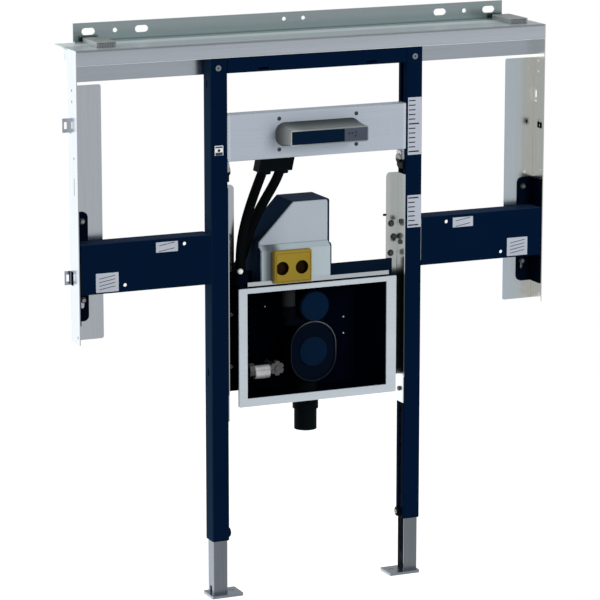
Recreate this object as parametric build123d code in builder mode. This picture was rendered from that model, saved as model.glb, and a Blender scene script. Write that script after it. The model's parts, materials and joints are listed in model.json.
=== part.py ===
import os
from math import radians, tan

from build123d import *

os.makedirs("parts", exist_ok=True)

# Installation frame for a wash basin, hung on a wall and standing on two legs.
# The origin lies on the back of the wall rail, midway along its line of holes.
# +X is to the right, +Z is up, and -Y is the front.

# Posts and the rail between them
frame_width = 500
frame_depth = 132
post_size = 40
post_length = 1058
post_base_length = 430
post_wall = 2.5
post_corner = 4
post_slot = 14
top_rail_height = 34
rail_slot_length = 25
rail_slot_height = 4
rail_slot_inset = 83
rail_slot_rise = 7
side_slot_length = 18
side_slot_width = 6
side_slot_drop = 56

# Folded sheet steel
sheet = 2
bend = 1.5

# Top channel, wall rail and wall brackets
channel_width = 1102
wall_hole_rise = 22.5
band_height = 32
lower_band_height = 39
end_flange_height = 27
end_slit_width = 3
end_slit_height = 14
end_slit_pitch = 26
rail_inset = 42
rail_thickness = 3
rail_above_holes = 18.5
rail_foot = 15
wall_slot_length = 30
wall_slot_width = 15
outer_slot_inset = 34
inner_slot_inset = 155
wall_hole_inset = 94.5
wall_hole_radius = 5
middle_hole_x = 22.8
middle_hole_radius = 4.5
middle_hole_rise = 4
hat_width = 44
hat_height = 12
hat_length = 84
left_hat_inset = 80
right_hat_inset = 51

# Side arms and their end brackets
arm_level = 571.5
arm_height = 108.5
arm_wall = 2.5
arm_hole_radius = 4
arm_hole_inset = 61
arm_hole_drop = 14.5
arm_end_hole_inset = 99
arm_end_hole_rise = 15.5
bracket_sheet = 3
bracket_below = 65.5
bracket_above = 62
bracket_face_width = 34
bracket_corner = 12
bracket_hole_radius = 4.5
bracket_hole_inset = 13
bracket_key_width = 9
bracket_key_length = 26
bracket_key_drop = 40

# Side panels
panel_flange_depth = 52
panel_flange_width = 73
panel_below = 41
panel_gap = 8
panel_corner = 5
lug_length = 14
lug_height = 30
lug_slot_width = 15
lug_hole_width = 6
lug_drops = (98, 424)
slit_width = 3
slit_length = 38
slit_drop = 209
slit_depth = 20
panel_hole_radius = 3
panel_hole_places = ((28, 6), (28, 30), (20, 149), (10, 531))

# Telescopic legs
leg_extension = 128
leg_gap = 1
leg_wall = 2.5
leg_length = 430
leg_notch_width = 10
leg_notch_height = 16
cap_height = 2.5
cap_gap = 0.7
cap_chamfer = 1
foot_length = 74
foot_width = 54
foot_thickness = 6
foot_corner = 4
left_foot_overhang = 6
right_foot_overhang = -3
foot_forward = 12
foot_hole_radius = 5
foot_hole_inset = 17

# Function box, its front frame and the strip above it
box_level = 300
box_height = 260.5
box_side_gap = 25
box_back_taper = 49
box_wall = 4
box_front_gap = 2
box_depth = 98
box_flange_gap = 15
box_flange_thickness = 3
box_flange_rise = 23
box_flange_above = 26
deck_gap = 3
frame_side_gap = 22.5
frame_below = 6
frame_drop = 5
frame_thickness = 6
frame_lip = 10
window_border = 19.5
window_rise = 8
window_drop = 16
window_corner = 2
strip_inset = 42
strip_height = 9

# Rails that carry the function box
box_rail_below = 36
box_rail_above = 217.5
box_rail_face = 27
box_rail_corner = 10

# Crossbar that carries the tap body
bar_rise = 273.5
bar_height = 102
bar_lip = 26
tap_width = 182
tap_height = 34
tap_reach = 62
tap_rise = 52
tap_base_spread = 9
tap_base_corner = 22
tap_waist = 20
tap_waist_spread = 3
tap_waist_corner = 9
tap_corner = 5
tap_panel_thickness = 2
tap_panel_edge = 3
tap_sensor_width = 54
bar_clamp_depth = 28
bar_clamp_height = 44
bar_clamp_thickness = 5
bar_clamp_nose = 10

# Supply tubes, their sockets on the box and the manifold above them
tube_radius = 10.5
tube_inset = 13
tube_stagger = 8
front_tube_lead = 5
back_tube_lead = 10
tube_bend_share = 0.85
front_tube_depth = 19
back_tube_depth = 70
socket_radius = 14.5
socket_height = 26
manifold_width = 79
manifold_height = 28
manifold_front = 4
manifold_depth = 30
manifold_lean = 6
manifold_inset = 4
manifold_collar_radius = 15
manifold_collar_height = 6
tube_spacing = 41

# Valve housing on top of the box
housing_gap = 13.5
housing_width = 170
housing_height = 174
housing_shoulder_drop = 86
housing_slope_width = 82
housing_front = 15
housing_depth = 84
housing_round = 5
cover_thickness = 5
cover_drop = 6
cover_inset = 2
cover_right_inset = 6
cover_chamfer = 1.5
plinth_reach = 12
plinth_slope = 5
base_cover_reach = 4
base_cover_slope = 10
guard_inset = 27
guard_width = 87
guard_rise = 1
guard_drop = 0
guard_thickness = 14
guard_hole_radius = 15
guard_hole_spacing = 46
guard_hole_shift = -3
guard_hole_rise = 33
guard_hole_depth = 11
guard_round = 3

# Trap and fittings inside the box
trap_rise = 97
trap_radius = 54
trap_stretch = 13
trap_front = 27
trap_back_gap = 10
trap_cap_rise = 102
trap_cap_radius = 33
trap_neck = 50
trap_cap_thickness = 14
trap_cap_chamfer = 2
cover_plate = 3
cover_rim_width = 4
cover_rim_height = 2
cover_disc_radius = 33
waste_radius = 25
waste_depth = 66
waste_drop = 86
collar_radius = 28.5
collar_height = 39
floor_hole_gap = 0.5
inlet_radius = 15
inlet_x = -52.5
inlet_depth = 39.5
elbow_radius = 12
inlet_elbow_rise = 67
inlet_nut_radius = 18
inlet_nut_height = 24
inlet_nut_rise = 13
valve_rise = 63
valve_depth = 45
valve_gap = 26
valve_nut_radius = 15
valve_nut_length = 12
valve_neck_radius = 9
valve_body_radius = 13
valve_body_drop = 8
valve_wall_gap = 4.766
valve_body_round = 4
valve_wheel_radius = 16
valve_wheel_reach = 8
valve_wheel_thickness = 14
valve_wheel_notches = 6
valve_notch_radius = 3
valve_hub_radius = 6
valve_hub_height = 4
valve_stem_radius = 7

# Places worked out from the sizes above; heights count from the bottom of the posts
front = -frame_depth
plate_top = -wall_hole_rise
post_top = plate_top - band_height
base = post_top - post_length
post_back = front + post_size
post_middle = front + post_size / 2
post_bore = post_size - 2 * post_wall
leg_size = post_bore - 2 * leg_gap
inner_face = frame_width / 2 - post_size
outer_face = frame_width / 2
half_channel = channel_width / 2
half_rail = half_channel - rail_inset
panel_inside = half_channel - sheet
panel_flange_y = front + panel_flange_depth
panel_top = post_length - lower_band_height - panel_gap
foot_bottom = base - leg_extension
foot_top = foot_bottom + foot_thickness
arm_top = arm_level + arm_height
bracket_bottom = arm_level - bracket_below
bracket_top = arm_top + bracket_above
panel_bottom = bracket_bottom - panel_below
rail_face_back = post_back
rail_face_front = post_back - sheet
rail_edge = inner_face - sheet - box_rail_face
flange_front = rail_face_front - box_flange_thickness
box_half_width = inner_face - box_side_gap
box_front = front + box_front_gap
box_back = box_front + box_depth
box_top = box_level + box_height
box_flange_bottom = box_level + box_flange_rise
window_half_width = inner_face - frame_side_gap - window_border
strip_half_width = inner_face - strip_inset
bar_level = box_top + bar_rise
tap_level = bar_level + tap_rise
front_tube_x = tube_inset - box_half_width
back_tube_x = front_tube_x + tube_stagger
housing_left = back_tube_x + socket_radius + housing_gap
housing_right = housing_left + housing_width
housing_top_left = housing_left + housing_slope_width
housing_bottom = box_top + sheet
housing_top = housing_bottom + housing_height
housing_shoulder = housing_top - housing_shoulder_drop
housing_face = front + housing_front
cover_bottom = housing_shoulder - cover_drop
cover_right = housing_right - cover_right_inset
cover_front = front - base_cover_reach
trap_level = box_level + trap_rise
trap_cap_level = trap_level + trap_cap_rise
trap_face = front + trap_front
inlet_elbow_level = trap_level + inlet_elbow_rise
inlet_nut_level = inlet_elbow_level + inlet_nut_rise
sides = ((-1, "left"), (1, "right"))


def level(height):
    return base + height


def facing(y):
    return Plane.XZ.offset(-y)


def save(piece, name):
    piece.part.label = name
    export_step(piece.part, f"parts/{name}.step")


# Posts: slotted square profiles with the slot towards the middle, each in two lengths, the lower one for the leg
post_lengths = (("post_base", 0, post_base_length), ("post", post_base_length, post_length))
for side, hand in sides:
    post_x = side * (frame_width - post_size) / 2
    for name, low, high in post_lengths:
        with BuildPart() as post:
            with BuildSketch(Plane.XY.offset(level(low))):
                with Locations((post_x, post_middle)):
                    RectangleRounded(post_size, post_size, post_corner)
                    RectangleRounded(post_bore, post_bore, post_corner - post_wall, mode=Mode.SUBTRACT)
                with Locations((side * (inner_face + post_wall / 2), post_middle)):
                    Rectangle(2 * post_wall, post_slot, mode=Mode.SUBTRACT)
            extrude(amount=high - low)
            with BuildSketch(Plane.YZ.offset(side * outer_face)):
                with Locations((post_middle, level(high) - side_slot_drop)):
                    SlotOverall(side_slot_length, side_slot_width, rotation=90)
            extrude(amount=-side * post_wall * 1.5, mode=Mode.SUBTRACT)
        save(post, f"{hand}_{name}")

# Top rail between the posts, open below, with two slots low in its front
with BuildPart() as top_rail:
    with BuildSketch(Plane.YZ.offset(-inner_face)):
        with Locations((post_middle, post_top - top_rail_height / 2)):
            RectangleRounded(post_size, top_rail_height, post_corner)
            RectangleRounded(post_bore, top_rail_height - 2 * post_wall, post_corner - post_wall,
                             mode=Mode.SUBTRACT)
        with Locations((post_middle, post_top - top_rail_height + post_wall / 2)):
            Rectangle(post_slot, 2 * post_wall, mode=Mode.SUBTRACT)
    extrude(amount=2 * inner_face)
    with BuildSketch(facing(front)):
        slot_level = post_top - top_rail_height + rail_slot_rise
        with Locations(*[(side * (outer_face - rail_slot_inset - post_size), slot_level) for side, _ in sides]):
            SlotOverall(rail_slot_length, rail_slot_height)
    extrude(amount=-post_wall * 1.5, mode=Mode.SUBTRACT)
save(top_rail, "top_rail")

# Plastic caps that guide the legs out of the posts
for side, hand in sides:
    post_x = side * (frame_width - post_size) / 2
    with BuildPart() as cap:
        with BuildSketch(Plane.XY.offset(base - cap_height)):
            with Locations((post_x, post_middle)):
                RectangleRounded(post_size, post_size, post_corner)
                Rectangle(leg_size + 2 * cap_gap, leg_size + 2 * cap_gap, mode=Mode.SUBTRACT)
        extrude(amount=cap_height)
        chamfer(cap.faces().sort_by(Axis.Z)[0].outer_wire().edges(), cap_chamfer)
    save(cap, f"{hand}_post_cap")

# Legs: channels that slide in the posts, open towards the middle
for side, hand in sides:
    post_x = side * (frame_width - post_size) / 2
    with BuildPart() as leg:
        with BuildSketch(Plane.XY.offset(foot_top)):
            with Locations((post_x, post_middle)):
                RectangleRounded(leg_size, leg_size, leg_wall)
            with Locations((post_x - side * leg_wall, post_middle)):
                Rectangle(leg_size, leg_size - 2 * leg_wall, mode=Mode.SUBTRACT)
        extrude(amount=leg_length)
        with BuildSketch(Plane.YZ.offset(post_x + side * leg_size / 2)):
            with Locations((post_middle, foot_top)):
                Rectangle(leg_notch_width, 2 * leg_notch_height)
        extrude(amount=-side * 2 * leg_wall, mode=Mode.SUBTRACT)
    save(leg, f"{hand}_leg")

# Foot plates with a bolt hole beside the leg
for side, hand in sides:
    overhang = left_foot_overhang if side < 0 else right_foot_overhang
    foot_x = side * (outer_face + overhang - foot_length / 2)
    foot_y = front - foot_forward + foot_width / 2
    with BuildPart() as foot:
        with BuildSketch(Plane.XY.offset(foot_bottom)):
            with Locations((foot_x, foot_y)):
                RectangleRounded(foot_length, foot_width, foot_corner)
            with Locations((foot_x - side * (foot_length / 2 - foot_hole_inset), post_middle)):
                Circle(foot_hole_radius, mode=Mode.SUBTRACT)
        extrude(amount=foot_thickness)
    save(foot, f"{hand}_foot_plate")

# Top channel: plate with a front band and slit end flanges
with BuildPart() as top_channel:
    with BuildSketch(Plane.YZ.offset(-panel_inside)):
        with BuildLine():
            FilletPolyline(
                (0, plate_top),
                (front, plate_top),
                (front, post_top + sheet),
                radius=bend + sheet,
            )
            offset(amount=sheet, side=Side.LEFT)
        make_face()
    extrude(amount=2 * panel_inside)
    for side, _ in sides:
        with BuildSketch(Plane.YZ.offset(side * panel_inside)):
            with Locations((panel_flange_y / 2, plate_top - end_flange_height / 2)):
                Rectangle(-panel_flange_y, end_flange_height)
            with Locations((panel_flange_y / 2, plate_top - end_flange_height)):
                with GridLocations(end_slit_pitch, 1, 3, 1):
                    Rectangle(end_slit_width, 2 * end_slit_height, mode=Mode.SUBTRACT)
        extrude(amount=side * sheet)
save(top_channel, "top_channel")

# Cross angle: ledge on the posts under the front band, and the lower band behind the posts
with BuildPart() as cross_angle:
    with BuildSketch(Plane.YZ.offset(-panel_inside)):
        with BuildLine():
            FilletPolyline(
                (front, post_top),
                (post_back + bend, post_top),
                (post_back + bend, post_top - lower_band_height),
                radius=bend,
            )
            offset(amount=sheet, side=Side.LEFT)
        make_face()
    extrude(amount=2 * panel_inside)
save(cross_angle, "cross_angle")

# Wall rail: angle on the back edge of the plate, with slots and holes for wall bolts
with BuildPart() as wall_rail:
    with BuildSketch(Plane.YZ.offset(-half_rail)):
        with BuildLine():
            Polyline(
                (0, rail_above_holes),
                (0, plate_top),
                (-rail_foot, plate_top),
                (-rail_foot, plate_top + rail_thickness),
                (-rail_thickness, plate_top + rail_thickness),
                (-rail_thickness, rail_above_holes),
                close=True,
            )
        make_face()
    extrude(amount=2 * half_rail)
    with BuildSketch(facing(0)):
        for side, _ in sides:
            with Locations((side * (half_rail - outer_slot_inset), 0), (side * (half_rail - inner_slot_inset), 0)):
                SlotOverall(wall_slot_length, wall_slot_width)
            with Locations((side * (half_rail - wall_hole_inset), 0)):
                Circle(wall_hole_radius)
            with Locations((side * middle_hole_x, middle_hole_rise)):
                Circle(middle_hole_radius)
    extrude(amount=rail_thickness, mode=Mode.SUBTRACT)
save(wall_rail, "wall_rail")

# Hat-shaped wall brackets on the plate, open at the front, the right one nearer its end
hat_places = (("left", left_hat_inset - half_channel), ("right", half_channel - right_hat_inset))
for hand, hat_x in hat_places:
    with BuildPart() as hat:
        with BuildSketch(facing(-rail_foot - sheet)):
            with Locations((hat_x, plate_top + hat_height / 2)):
                Rectangle(hat_width, hat_height)
            with Locations((hat_x, plate_top + (hat_height - sheet) / 2)):
                Rectangle(hat_width - 2 * sheet, hat_height - sheet, mode=Mode.SUBTRACT)
        extrude(amount=hat_length)
        fillet(hat.edges().filter_by(Axis.Y).group_by(Axis.Z)[-1], bend)
    save(hat, f"{hand}_wall_bracket")

# Side panels: tall angles with lugs bent out of slots in the side
for side, hand in sides:
    flange_edge = side * (half_channel - panel_flange_width)
    flange_top = level(panel_top)
    with BuildPart() as panel:
        with BuildSketch(Plane.XY.offset(level(panel_bottom))):
            with BuildLine():
                FilletPolyline(
                    (side * half_channel, front),
                    (side * half_channel, panel_flange_y),
                    (flange_edge, panel_flange_y),
                    radius=bend + sheet,
                )
                offset(amount=sheet, side=Side.LEFT if side > 0 else Side.RIGHT)
            make_face()
        extrude(amount=flange_top - level(panel_bottom))
        corners = panel.edges().filter_by(Axis.Y).sort_by(Axis.X)
        fillet(corners[-2:] if side < 0 else corners[:2], panel_corner)
        with BuildSketch(Plane.YZ.offset(side * panel_inside)):
            with Locations((front + panel_flange_depth / 2, (plate_top + flange_top) / 2)):
                Rectangle(panel_flange_depth, plate_top - flange_top)
        extrude(amount=side * sheet)
        with BuildSketch(Plane.YZ.offset(side * half_channel)):
            lug_slot_middle = panel_flange_y - 2 * sheet - lug_slot_width / 2
            with Locations(*[(lug_slot_middle, flange_top - drop + lug_height / 2) for drop in lug_drops]):
                Rectangle(lug_slot_width, lug_height)
            with Locations((front + slit_depth, flange_top - slit_drop)):
                SlotOverall(slit_length, slit_width, rotation=90)
            with Locations(*[(front + depth, flange_top - drop) for depth, drop in panel_hole_places]):
                Circle(panel_hole_radius)
        extrude(amount=-side * sheet * 2, mode=Mode.SUBTRACT)
        with BuildSketch(facing(panel_flange_y)):
            for drop in lug_drops:
                lug_middle = flange_top - drop + lug_height / 2
                with Locations((side * (half_channel + lug_length / 2 - sheet), lug_middle)):
                    Rectangle(lug_length + 2 * sheet, lug_height)
                with Locations((side * (half_channel + lug_length / 2), lug_middle)):
                    Rectangle(lug_hole_width, lug_height / 2, mode=Mode.SUBTRACT)
        extrude(amount=sheet)
    save(panel, f"{hand}_side_panel")

# Side arms: channels open at the back, from the posts to the end brackets
arm_end = panel_inside - bracket_sheet
bracket_back = panel_flange_y - sheet
bracket_front = bracket_back - bracket_sheet
arm_back = bracket_front - bend
for side, hand in sides:
    with BuildPart() as arm:
        with BuildSketch(Plane.YZ.offset(side * outer_face)):
            with BuildLine():
                FilletPolyline(
                    (arm_back, level(arm_top)),
                    (front, level(arm_top)),
                    (front, level(arm_level)),
                    (arm_back, level(arm_level)),
                    radius=bend + arm_wall,
                )
                offset(amount=arm_wall, side=Side.LEFT)
            make_face()
        extrude(amount=side * (arm_end - outer_face))
        with BuildSketch(facing(front)):
            with Locations(
                (side * (outer_face + arm_hole_inset), level(arm_top - arm_hole_drop)),
                (side * (arm_end - arm_end_hole_inset), level(arm_level + arm_end_hole_rise)),
            ):
                Circle(arm_hole_radius)
        extrude(amount=-arm_wall, mode=Mode.SUBTRACT)
    save(arm, f"{hand}_arm")

# End brackets: angles behind the arms, screwed to the side panels
for side, hand in sides:
    bracket_edge = arm_end - bracket_face_width
    with BuildPart() as bracket:
        with BuildSketch(Plane.XY.offset(level(bracket_bottom))):
            with BuildLine():
                FilletPolyline(
                    (side * panel_inside, front + sheet),
                    (side * panel_inside, bracket_back),
                    (side * bracket_edge, bracket_back),
                    radius=bend + bracket_sheet,
                )
                offset(amount=bracket_sheet, side=Side.LEFT if side > 0 else Side.RIGHT)
            make_face()
        extrude(amount=bracket_top - bracket_bottom)
        corners = bracket.edges().filter_by(Axis.Y).sort_by(Axis.X)
        fillet(corners[-2:] if side < 0 else corners[:2], bracket_corner)
        with BuildSketch(facing(bracket_front)):
            with Locations((side * (bracket_edge + bracket_hole_inset), level(bracket_top - bracket_key_drop / 2))):
                Circle(bracket_hole_radius)
            with Locations((side * (bracket_edge + bracket_hole_inset), level(bracket_bottom + bracket_key_drop))):
                SlotOverall(bracket_key_length, bracket_key_width, rotation=90)
        extrude(amount=-bracket_sheet, mode=Mode.SUBTRACT)
    save(bracket, f"{hand}_arm_bracket")

# Crossbar: folded sheet between the posts, with lips turned back above and below
with BuildPart() as crossbar:
    with BuildSketch(Plane.YZ.offset(-inner_face)):
        with BuildLine():
            FilletPolyline(
                (front + bar_lip, level(bar_level + bar_height)),
                (front, level(bar_level + bar_height)),
                (front, level(bar_level)),
                (front + bar_lip, level(bar_level)),
                radius=bend + sheet,
            )
            offset(amount=sheet, side=Side.LEFT)
        make_face()
    extrude(amount=2 * inner_face)
save(crossbar, "tap_crossbar")

# Tap body: a nose that flares out of the crossbar from a soft base
tap_face = front - tap_reach
tap_sections = (
    (front, tap_base_spread, tap_base_corner),
    (front - tap_waist, tap_waist_spread, tap_waist_corner),
    (tap_face, 0, tap_corner),
)
with BuildPart() as tap_body:
    for depth, spread, corner in tap_sections:
        with BuildSketch(facing(depth)):
            with Locations((0, level(tap_level))):
                RectangleRounded(tap_width + 2 * spread, tap_height + 2 * spread, corner)
    loft()
save(tap_body, "tap_body")

# Two panels share the front of the tap body
panel_height = tap_height - 2 * tap_panel_edge
panel_left = tap_panel_edge - tap_width / 2
panel_right = tap_width / 2 - tap_panel_edge
panel_split = panel_right - tap_sensor_width
for name, left, right in (
    ("tap_front_panel", panel_left, panel_split),
    ("tap_sensor_panel", panel_split, panel_right),
):
    with BuildPart() as tap_panel:
        with BuildSketch(facing(tap_face)):
            with Locations(((left + right) / 2, level(tap_level))):
                Rectangle(right - left, panel_height)
        extrude(amount=tap_panel_thickness)
    save(tap_panel, name)

# Clamps that hang the crossbar on the inner faces of the posts
for side, hand in sides:
    clamp_top = level(bar_level)
    with BuildPart() as bar_clamp:
        with BuildSketch(Plane.YZ.offset(side * inner_face)):
            with BuildLine():
                Polyline(
                    (post_middle - bar_clamp_depth / 2, clamp_top),
                    (post_middle + bar_clamp_depth / 2, clamp_top),
                    (post_middle + bar_clamp_depth / 2, clamp_top - bar_clamp_height + bar_clamp_thickness),
                    (post_middle + bar_clamp_depth / 2 - bar_clamp_thickness, clamp_top - bar_clamp_height),
                    (post_middle - bar_clamp_depth / 2, clamp_top - bar_clamp_height),
                    close=True,
                )
            make_face()
        extrude(amount=-side * bar_clamp_thickness)
        with BuildSketch(Plane.YZ.offset(side * (inner_face - bar_clamp_thickness))):
            with Locations((post_middle, clamp_top - bar_clamp_height / 2)):
                Circle(bar_clamp_nose)
        extrude(amount=-side * bar_clamp_thickness)
    save(bar_clamp, f"{hand}_crossbar_clamp")

# Box rails: angles on the inner faces of the posts, with a longer side below
for side, hand in sides:
    with BuildPart() as box_rail:
        with BuildSketch(Plane.XY.offset(level(box_flange_bottom))):
            with BuildLine():
                FilletPolyline(
                    (side * inner_face, front),
                    (side * inner_face, rail_face_back),
                    (side * rail_edge, rail_face_back),
                    radius=bend + sheet,
                )
                offset(amount=sheet, side=Side.LEFT if side > 0 else Side.RIGHT)
            make_face()
        extrude(amount=box_top + box_rail_above - box_flange_bottom)
        corners = box_rail.edges().filter_by(Axis.Y).sort_by(Axis.X)
        fillet(corners[-2:] if side < 0 else corners[:2], box_rail_corner)
        with BuildSketch(Plane.XY.offset(level(box_level - box_rail_below))):
            with Locations((side * (inner_face - sheet / 2), post_middle - bend)):
                Rectangle(sheet, post_size - 2 * bend - 2 * sheet)
        extrude(amount=box_flange_bottom - box_level + box_rail_below)
    save(box_rail, f"{hand}_box_rail")

# Function box: an open tub, narrower at the back, with a flange on the box rails and tube sockets on top
box_middle = level(box_level + box_height / 2)
box_back_half = box_half_width - box_back_taper
with BuildPart() as function_box:
    with BuildSketch(facing(box_front)):
        with Locations((0, box_middle)):
            Rectangle(2 * box_half_width, box_height)
    with BuildSketch(facing(box_back)):
        with Locations((0, box_middle)):
            Rectangle(2 * box_back_half, box_height)
    loft()
    with BuildSketch(facing(rail_face_front)):
        with Locations((0, level((box_flange_bottom + box_top + box_flange_above) / 2))):
            Rectangle(2 * (inner_face - box_flange_gap), box_top + box_flange_above - box_flange_bottom)
        with Locations(((housing_left + housing_right) / 2, level(box_top + box_flange_above))):
            Rectangle(housing_width + 2 * box_wall, 2 * box_flange_above, mode=Mode.SUBTRACT)
    extrude(amount=box_flange_thickness)
    with BuildSketch(Plane.XY.offset(level(box_top - box_wall))):
        with Locations((0, (box_front + box_back) / 2)):
            Rectangle(2 * (rail_edge - deck_gap), box_depth)
    extrude(amount=box_wall)
    with BuildSketch(facing(box_front)):
        with Locations((0, box_middle)):
            Rectangle(2 * (box_half_width - box_wall), box_height - 2 * box_wall)
    with BuildSketch(facing(box_back - box_wall)):
        with Locations((0, box_middle)):
            Rectangle(2 * (box_back_half - box_wall), box_height - 2 * box_wall)
    loft(mode=Mode.SUBTRACT)
    with BuildSketch(Plane.XY.offset(level(box_level))):
        with Locations((0, front + waste_depth)):
            Circle(waste_radius + floor_hole_gap)
    extrude(amount=box_wall, mode=Mode.SUBTRACT)
    with BuildSketch(Plane.XY.offset(level(box_top))):
        with Locations((front_tube_x, front + front_tube_depth), (back_tube_x, front + back_tube_depth)):
            Circle(socket_radius)
    extrude(amount=socket_height)
save(function_box, "function_box")

# Front frame: flat border with a lip that reaches into the box
frame_height = box_height + frame_below - frame_drop
window_height = box_height - window_rise - window_drop
window_middle = level(box_level + window_rise + window_height / 2)
with BuildPart() as front_frame:
    with BuildSketch(facing(box_front)):
        with Locations((0, level(box_level - frame_below + frame_height / 2))):
            RectangleRounded(2 * (inner_face - frame_side_gap), frame_height, window_corner)
        with Locations((0, window_middle)):
            Rectangle(2 * window_half_width, window_height, mode=Mode.SUBTRACT)
    extrude(amount=frame_thickness)
    with BuildSketch(facing(box_front)):
        with Locations((0, window_middle)):
            Rectangle(2 * (window_half_width + sheet), window_height + 2 * sheet)
            Rectangle(2 * window_half_width, window_height, mode=Mode.SUBTRACT)
    extrude(amount=-frame_lip)
save(front_frame, "box_front_frame")

# Strip on top of the box, notched for the connection guard
strip_front = cover_front - sheet
guard_middle = housing_left + guard_inset + guard_width / 2
with BuildPart() as strip:
    with BuildSketch(facing(strip_front)):
        with Locations((0, level(box_top + strip_height / 2))):
            Rectangle(2 * strip_half_width, strip_height)
        with Locations((guard_middle, level(box_top + sheet + strip_height))):
            Rectangle(guard_width + sheet, 2 * strip_height, mode=Mode.SUBTRACT)
    extrude(amount=-sheet)
    with BuildSketch(Plane.XY.offset(level(box_top))):
        plate_left = front_tube_x + socket_radius + sheet
        plate_back = flange_front - sheet
        with Locations(((plate_left + strip_half_width) / 2, (strip_front + plate_back) / 2)):
            Rectangle(strip_half_width - plate_left, plate_back - strip_front)
    extrude(amount=sheet)
save(strip, "box_top_strip")

# Valve housing with a sloping shoulder, and a plinth that reaches forward below
plinth_front = housing_face - plinth_reach
plinth_top = cover_bottom - plinth_slope
with BuildPart() as housing:
    with BuildSketch(facing(housing_face + housing_depth)) as housing_profile:
        with BuildLine():
            Polyline(
                (housing_right, level(housing_bottom)),
                (housing_right, level(housing_top)),
                (housing_top_left, level(housing_top)),
                (housing_left, level(housing_shoulder)),
                (housing_left, level(housing_bottom)),
                close=True,
            )
        make_face()
        fillet(housing_profile.vertices().sort_by(Axis.Y)[2:], housing_round)
    extrude(amount=housing_depth)
    with BuildSketch(Plane.YZ.offset(housing_left + cover_inset)):
        with BuildLine():
            Polyline(
                (housing_face, level(housing_bottom)),
                (housing_face, level(plinth_top)),
                (plinth_front + plinth_slope, level(plinth_top)),
                (plinth_front, level(plinth_top - plinth_slope)),
                (plinth_front, level(housing_bottom)),
                close=True,
            )
        make_face()
    extrude(amount=housing_width - cover_inset)
save(housing, "valve_housing")

# Cover on the front of the housing
with BuildPart() as cover:
    with BuildSketch(facing(housing_face)) as cover_profile:
        with BuildLine():
            Polyline(
                (cover_right, level(cover_bottom)),
                (cover_right, level(housing_top - cover_inset)),
                (housing_top_left + cover_inset / 2, level(housing_top - cover_inset)),
                (housing_left + cover_inset, level(housing_shoulder + cover_inset / 2)),
                (housing_left + cover_inset, level(cover_bottom)),
                close=True,
            )
        make_face()
        fillet(cover_profile.vertices().sort_by(Axis.Y)[-2:], housing_round)
    extrude(amount=cover_thickness)
    chamfer(cover.faces().sort_by(Axis.Y)[0].edges(), cover_chamfer)
save(cover, "valve_cover")

# Lower cover folded over the plinth
with BuildPart() as base_cover:
    with BuildSketch(Plane.YZ.offset(housing_left + cover_inset)):
        with BuildLine():
            Polyline(
                (plinth_front, level(housing_bottom)),
                (plinth_front, level(plinth_top - plinth_slope)),
                (plinth_front + plinth_slope, level(plinth_top)),
                (housing_face, level(plinth_top)),
                (housing_face, level(cover_bottom)),
                (housing_face - cover_thickness, level(cover_bottom)),
                (cover_front, level(cover_bottom - base_cover_slope)),
                (cover_front, level(housing_bottom)),
                close=True,
            )
        make_face()
    extrude(amount=cover_right - housing_left - cover_inset)
save(base_cover, "valve_base_cover")

# Guard over the two water connections
guard_bottom = level(housing_bottom + guard_rise)
guard_top = level(cover_bottom - base_cover_slope - guard_drop)
with BuildPart() as guard:
    with BuildSketch(facing(cover_front)):
        with Locations((guard_middle, (guard_bottom + guard_top) / 2)):
            RectangleRounded(guard_width, guard_top - guard_bottom, guard_round)
    extrude(amount=guard_thickness)
    chamfer(guard.faces().sort_by(Axis.Y)[0].edges(), cover_chamfer)
    with BuildSketch(facing(cover_front - guard_thickness)):
        with Locations((guard_middle + guard_hole_shift, guard_bottom + guard_hole_rise)):
            with GridLocations(guard_hole_spacing, 1, 2, 1):
                Circle(guard_hole_radius)
    extrude(amount=-guard_hole_depth, mode=Mode.SUBTRACT)
save(guard, "connection_guard")

# Manifold under the crossbar, leaning with the tubes
manifold_middle = front + manifold_front + manifold_depth / 2
manifold_x = housing_left + manifold_inset + manifold_width / 2
manifold_bottom = level(bar_level - manifold_height)
tube_top = manifold_bottom - manifold_collar_height
tube_tops = (manifold_x - manifold_lean - tube_spacing / 2, manifold_x - manifold_lean + tube_spacing / 2)
with BuildPart() as manifold:
    with BuildSketch(facing(front + manifold_front)):
        with BuildLine():
            Polyline(
                (manifold_x - manifold_width / 2, level(bar_level)),
                (manifold_x + manifold_width / 2, level(bar_level)),
                (manifold_x + manifold_width / 2 - manifold_lean, manifold_bottom),
                (manifold_x - manifold_width / 2 - manifold_lean, manifold_bottom),
                close=True,
            )
        make_face()
    extrude(amount=-manifold_depth)
    with BuildSketch(Plane.XY.offset(tube_top)):
        with Locations(*[(x, manifold_middle) for x in tube_tops]):
            Circle(manifold_collar_radius)
    extrude(amount=manifold_collar_height)
save(manifold, "supply_manifold")

# Supply tubes from the manifold down to their sockets on the box
tube_bottom = level(box_top + socket_height)
tube_places = (
    ("front", tube_tops[0], front_tube_x, front + front_tube_depth, front_tube_lead),
    ("back", tube_tops[1], back_tube_x, front + back_tube_depth, back_tube_lead),
)
for name, top_x, bottom_x, bottom_y, tube_lead in tube_places:
    start = Vector(top_x, manifold_middle, tube_top)
    lead_end = start - Vector(0, 0, tube_lead)
    tail_start = Vector(bottom_x, bottom_y, level(housing_shoulder))
    end = Vector(bottom_x, bottom_y, tube_bottom)
    run = tail_start - lead_end
    turn = tan(radians(run.get_angle(Vector(0, 0, -1))) / 2)
    lead_bend = tube_bend_share * min(tube_lead, run.length / 2) / turn
    tail_bend = tube_bend_share * min((tail_start - end).length, run.length / 2) / turn
    with BuildPart() as tube:
        with BuildLine() as tube_path:
            FilletPolyline(start, lead_end, tail_start, end, radius=[lead_bend, tail_bend])
        with BuildSketch(Plane(start, z_dir=(0, 0, -1))):
            Circle(tube_radius)
        sweep()
    save(tube, f"{name}_supply_tube")

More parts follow.
